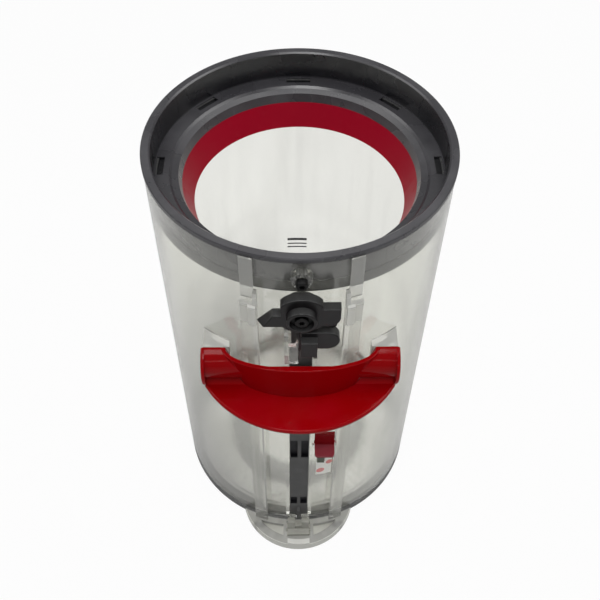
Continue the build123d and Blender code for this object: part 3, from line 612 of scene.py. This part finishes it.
clear = tube_plastic()
clear_base = base_plastic()
clear_catch = catch_plastic()
collar = collar_plastic()
red = red_plastic("red_gloss_plastic", RED_DARK, RED_PALE)
button_red = red_plastic("button_red_plastic", BUTTON_DARK, BUTTON_PALE, BUTTON_DUST)
wiper = red_rubber()
black = black_plastic()
rod_grey = rod_plastic()
collar_rubber = seal_rubber("seal_grey_rubber", *COLLAR_SEAL)
lid_rubber = seal_rubber("seal_dark_rubber", *LID_SEAL)
bright_steel = steel("spring_bright_steel", BRIGHT_STEEL, 0.25)
leaf_steel = steel("leaf_dull_steel", LEAF_STEEL, 0.40)
black_steel = steel("screw_black_steel", BLACK_STEEL, 0.35)
paper = label_paper()
dark_ink = print_ink("mark_dark_ink", MARK_INK)
red_ink = print_ink("oval_red_ink", OVAL_INK)

NODE_FINISH = {
    "bin_body": clear, "lid_catch": clear_catch, "catch_pin": clear_catch, "base_lid": clear_base,
    "top_collar": collar, "collar_seal": collar_rubber, "lid_seal": lid_rubber,
    "wiper_ring": wiper, "push_handle": red, "release_button": button_red,
    "rocker": black, "rod_head": black, "pull_rod": rod_grey,
    "rocker_screw": black_steel, "collar_screw": black_steel, "rocker_washer": black_steel,
    "rod_spring": bright_steel, "button_spring": leaf_steel, "hinge_pin": bright_steel,
    "plain_label": paper,
}
for node_name, node_finish in NODE_FINISH.items():
    slots = nodes[node_name].data.materials
    if len(slots):
        slots[0] = node_finish
    else:
        slots.append(node_finish)


def add_piece(name, mesh, material, body):
    """Link a finished mesh as a piece that rides on a body."""
    piece = bpy.data.objects.new(name, mesh)
    bpy.context.scene.collection.objects.link(piece)
    mesh.materials.clear()
    mesh.materials.append(material)
    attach(piece, body)
    return piece


def closed_mesh(name, bm):
    """Turn a bmesh into a mesh with outward faces."""
    bmesh.ops.remove_doubles(bm, verts=bm.verts, dist=1e-7)
    bmesh.ops.recalc_face_normals(bm, faces=bm.faces)
    mesh = bpy.data.meshes.new(name)
    bm.to_mesh(mesh)
    bm.free()
    return mesh


def run_of_rows(bm, rows):
    """Faces between equal rings of points, and a cap at each end."""
    for first, second in zip(rows, rows[1:]):
        for corner in range(len(first)):
            following = (corner + 1) % len(first)
            bm.faces.new((first[corner], first[following], second[following], second[corner]))
    bm.faces.new(rows[0])
    bm.faces.new(rows[-1])


def curved_bar(bm, radius, half_width, z, depth, thick):
    """Printed bar that lies on the inside of the tube's back wall."""
    low = z - depth / 2
    high = z + depth / 2
    rows = []
    for index in range(MARK_STEPS + 1):
        x = -half_width + 2 * half_width * index / MARK_STEPS
        row = []
        for r, height in ((radius, low), (radius, high), (radius - thick, high), (radius - thick, low)):
            row.append(bm.verts.new((x, math.sqrt(r * r - x * x), height)))
        rows.append(row)
    run_of_rows(bm, rows)


def fill_marks():
    """Three level bars on the inside of the back wall."""
    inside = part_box("bin_body")[1][0] - TUBE_WALL
    bm = bmesh.new()
    for z, depth in zip(MARK_HEIGHTS, MARK_DEPTHS):
        curved_bar(bm, inside, MARK_HALF_WIDTH, z, depth, MARK_THICK)
    add_piece("fill_marks", closed_mesh("fill_marks", bm), dark_ink, "bin")


def label_ovals():
    """Two plain ovals on the label's face."""
    face_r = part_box("bin_body")[1][0] + LABEL_SHEET + OVAL_LIFT
    bm = bmesh.new()
    for x, z, half_x, half_z in OVALS:
        rim = []
        for index in range(OVAL_POINTS):
            turn = 2 * math.pi * index / OVAL_POINTS
            px = x + half_x * math.cos(turn)
            pz = z + half_z * math.sin(turn) + OVAL_SLANT * half_x * math.cos(turn)
            rim.append(bm.verts.new((px, -math.sqrt(face_r ** 2 - px ** 2), pz)))
        bm.faces.new(rim)
    bmesh.ops.solidify(bm, geom=bm.faces[:], thickness=OVAL_LIFT)
    add_piece("label_ovals", closed_mesh("label_ovals", bm), red_ink, "bin")


def ring_of_lines_tree(material):
    """Geometry Nodes: upright mould lines set round a circle."""
    tree = bpy.data.node_groups.new("ring_of_mould_lines", "GeometryNodeTree")
    tree.interface.new_socket("Geometry", in_out="OUTPUT", socket_type="NodeSocketGeometry")
    tree.interface.new_socket("Count", in_out="INPUT", socket_type="NodeSocketInt")
    for name in ("Radius", "Width", "Depth", "Foot", "Height"):
        tree.interface.new_socket(name, in_out="INPUT", socket_type="NodeSocketFloat")

    def make(kind, settings=None, inputs=None):
        made = tree.nodes.new(kind)
        for key, value in (settings or {}).items():
            setattr(made, key, value)
        for key, value in (inputs or {}).items():
            if isinstance(value, bpy.types.NodeSocket):
                tree.links.new(value, made.inputs[key])
            else:
                made.inputs[key].default_value = value
        return made

    given = make("NodeGroupInput").outputs
    size = make("ShaderNodeCombineXYZ", None, {
        "X": given["Depth"], "Y": given["Width"], "Z": given["Height"]})
    line = make("GeometryNodeMeshCube", None, {"Size": size.outputs[0]})
    ring = make("GeometryNodeMeshCircle", None, {
        "Vertices": given["Count"], "Radius": given["Radius"]})
    half = make("ShaderNodeMath", {"operation": "MULTIPLY_ADD"}, {
        0: given["Height"], 1: 0.5, 2: given["Foot"]})
    lift = make("ShaderNodeCombineXYZ", None, {"Z": half.outputs[0]})
    raised = make("GeometryNodeSetPosition", None, {
        "Geometry": ring.outputs[0], "Offset": lift.outputs[0]})
    index = make("GeometryNodeInputIndex").outputs[0]
    share = make("ShaderNodeMath", {"operation": "DIVIDE"}, {0: index, 1: given["Count"]})
    angle = make("ShaderNodeMath", {"operation": "MULTIPLY"}, {0: share.outputs[0], 1: 2 * math.pi})
    turn = make("ShaderNodeCombineXYZ", None, {"Z": angle.outputs[0]})
    lines = make("GeometryNodeInstanceOnPoints", None, {
        "Points": raised.outputs[0], "Instance": line.outputs[0], "Rotation": turn.outputs[0]})
    real = make("GeometryNodeRealizeInstances", None, {"Geometry": lines.outputs[0]})
    dressed = make("GeometryNodeSetMaterial", None, {
        "Geometry": real.outputs[0], "Material": material})
    make("NodeGroupOutput", None, {"Geometry": dressed.outputs[0]})
    return tree


def ring_of_lines(name, tree, sizes, material):
    """Grow the tree with its sizes and keep the result as a plain mesh on the bin."""
    seed = bpy.data.objects.new(name + "_seed", bpy.data.meshes.new(name + "_seed"))
    bpy.context.scene.collection.objects.link(seed)
    grower = seed.modifiers.new("lines", "NODES")
    grower.node_group = tree
    for item in tree.interface.items_tree:
        if item.in_out == "INPUT":
            grower[item.identifier] = sizes[item.name]
    evaluated = seed.evaluated_get(bpy.context.evaluated_depsgraph_get())
    mesh = bpy.data.meshes.new_from_object(evaluated)
    bpy.data.objects.remove(seed)
    mesh.name = name
    add_piece(name, mesh, material, "bin")


def mould_lines():
    """Faint upright lines on the socket wall and on the skirt behind the tube."""
    tree = ring_of_lines_tree(collar)
    for name, radius, span in (("socket_lines", SOCKET_R, SOCKET_LINE_SPAN),
                               ("skirt_lines", SKIRT_R, SKIRT_LINE_SPAN)):
        ring_of_lines(name, tree, {
            "Count": LINE_COUNT, "Radius": radius, "Width": LINE_WIDTH, "Depth": LINE_PROUD * 2,
            "Foot": span[0], "Height": span[1] - span[0]}, collar)


def handle_ramps():
    """Moulded ramps that close the corner between the handle's barrels and its plate."""
    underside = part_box("push_handle")[0][2]
    bm = bmesh.new()
    for hand in (-1, 1):
        inner = []
        outer = []
        for y, lift in RAMP_PROFILE:
            half = WALL_MID_HALF + WALL_FLARE * lift
            start = half * math.sqrt(1 - ((y - WALL_CENTRE_Y) / WALL_MID_REACH) ** 2)
            inner.append(bm.verts.new((hand * start, y, underside + lift)))
            outer.append(bm.verts.new((hand * RAMP_END_X, y, underside + lift)))
        run_of_rows(bm, [inner, outer])
    bmesh.ops.triangulate(bm, faces=bm.faces[:])
    add_piece("handle_ramps", closed_mesh("handle_ramps", bm), red, "bin")


def return_coil():
    """Return spring in the rod's window; the real spring shortens as the rod goes down, this coil stays
    fixed.
    """
    low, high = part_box("rod_spring")
    wire_r = COIL_WIRE / 2
    mean_r = (high[0] - low[0] - COIL_WIRE) / 2
    rise = high[2] - low[2] - COIL_WIRE
    centre_y = (low[1] + high[1]) / 2
    steps = COIL_TURNS * COIL_STEPS
    bm = bmesh.new()
    rings = []
    for step in range(steps + 1):
        turn = 2 * math.pi * step / COIL_STEPS
        middle = low[2] + wire_r + rise * step / steps
        ring = []
        for corner in range(COIL_SIDES):
            angle = 2 * math.pi * corner / COIL_SIDES
            r = mean_r + wire_r * math.cos(angle)
            z = middle + wire_r * math.sin(angle)
            ring.append(bm.verts.new((r * math.cos(turn), centre_y + r * math.sin(turn), z)))
        rings.append(ring)
    run_of_rows(bm, rings)
    coil = add_piece("return_coil", closed_mesh("return_coil", bm), bright_steel, "bin")
    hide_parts("rod_spring")
    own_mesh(coil)


fill_marks()
label_ovals()
mould_lines()
handle_ramps()
return_coil()


def stage_sheet():
    """Pale floor."""
    bm = bmesh.new()
    bmesh.ops.create_grid(bm, x_segments=1, y_segments=1, size=FLOOR_SIZE)
    mesh = bpy.data.meshes.new("floor")
    bm.to_mesh(mesh)
    bm.free()
    floor = bpy.data.objects.new("floor", mesh)
    bpy.context.scene.collection.objects.link(floor)
    mesh.materials.append(backdrop_white())


def soft_box(name, place, target, size, watts):
    """Rectangular lamp that faces a point."""
    lamp = bpy.data.lights.new(name, "AREA")
    lamp.shape = "RECTANGLE"
    lamp.size = size[0]
    lamp.size_y = size[1]
    lamp.energy = watts
    holder = bpy.data.objects.new(name, lamp)
    bpy.context.scene.collection.objects.link(holder)
    holder.location = place
    holder.rotation_euler = (Vector(target) - Vector(place)).to_track_quat("-Z", "Y").to_euler()


def studio_world():
    """Even pale surroundings that read as white behind the object."""
    world = bpy.data.worlds.new("studio")
    finish = Finish("studio", world)
    seen = finish.ray("Is Camera Ray") * WORLD_SEEN + finish.ray("Is Transmission Ray") * WORLD_THROUGH
    finish.close(finish.node("ShaderNodeBackground", None, {
        "Color": grey(1.0), "Strength": seen + WORLD_LEVEL}))
    bpy.context.scene.world = world


def camera():
    """Camera at the photograph's place, pitch and roll."""
    lens = bpy.data.cameras.new("camera")
    lens.sensor_width = SENSOR_MM
    lens.lens = LENS_MM
    holder = bpy.data.objects.new("camera", lens)
    bpy.context.scene.collection.objects.link(holder)
    forward = Vector((0.0, math.cos(CAMERA_PITCH), -math.sin(CAMERA_PITCH)))
    up = Vector((0.0, math.sin(CAMERA_PITCH), math.cos(CAMERA_PITCH)))
    right = Vector((1.0, 0.0, 0.0))
    turned_right = right * math.cos(CAMERA_ROLL) + up * math.sin(CAMERA_ROLL)
    turned_up = up * math.cos(CAMERA_ROLL) - right * math.sin(CAMERA_ROLL)
    axes = Matrix((turned_right, turned_up, -forward)).transposed().to_4x4()
    swing = Matrix.Rotation(CAMERA_SWING, 4, "Z")
    holder.matrix_world = swing @ Matrix.Translation(CAMERA_PLACE) @ axes
    bpy.context.scene.camera = holder


stage_sheet()
studio_world()
for lamp_row in LAMPS:
    soft_box(*lamp_row)
camera()
bpy.context.scene.view_settings.view_transform = "Standard"
